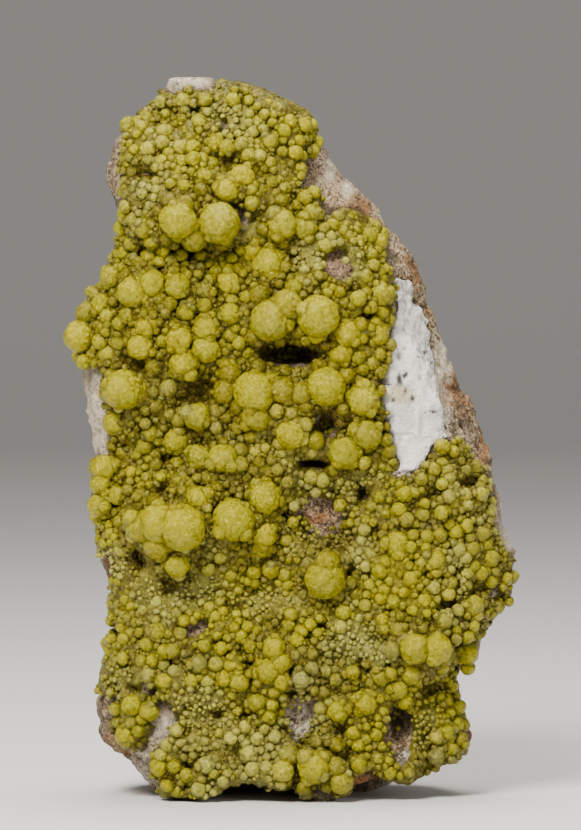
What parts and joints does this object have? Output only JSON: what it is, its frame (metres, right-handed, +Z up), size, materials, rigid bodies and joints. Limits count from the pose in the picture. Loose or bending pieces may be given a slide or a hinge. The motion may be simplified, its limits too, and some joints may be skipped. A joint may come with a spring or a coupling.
{
  "type": "pyromorphite specimen",
  "caption": "Upright plate of iron-stained rock crusted over its front with rounded yellow-green pyromorphite nodules, with a chalky white seam on its right face.",
  "frame": {"origin": "middle of the footprint of the standing specimen, on the surface it stands on", "axes": "+Z up along the plate's height, +X to the right as seen from its crusted front, +Y towards its bare back; the front faces -Y"},
  "size_m": [0.0653, 0.0377, 0.1026],
  "materials": {
    "matrix": "dull broken granular rock, cream and tan with brown and black iron stain",
    "pyromorphite": "waxy translucent yellow-green nodules with finely faceted surfaces",
    "white_mineral": "matt chalky white, finely pitted"
  },
  "bodies": {
    "root": {"matrix_rock": "matrix", "pyromorphite_crust": "pyromorphite", "white_seam": "white_mineral"}
  },
  "joints": []
}
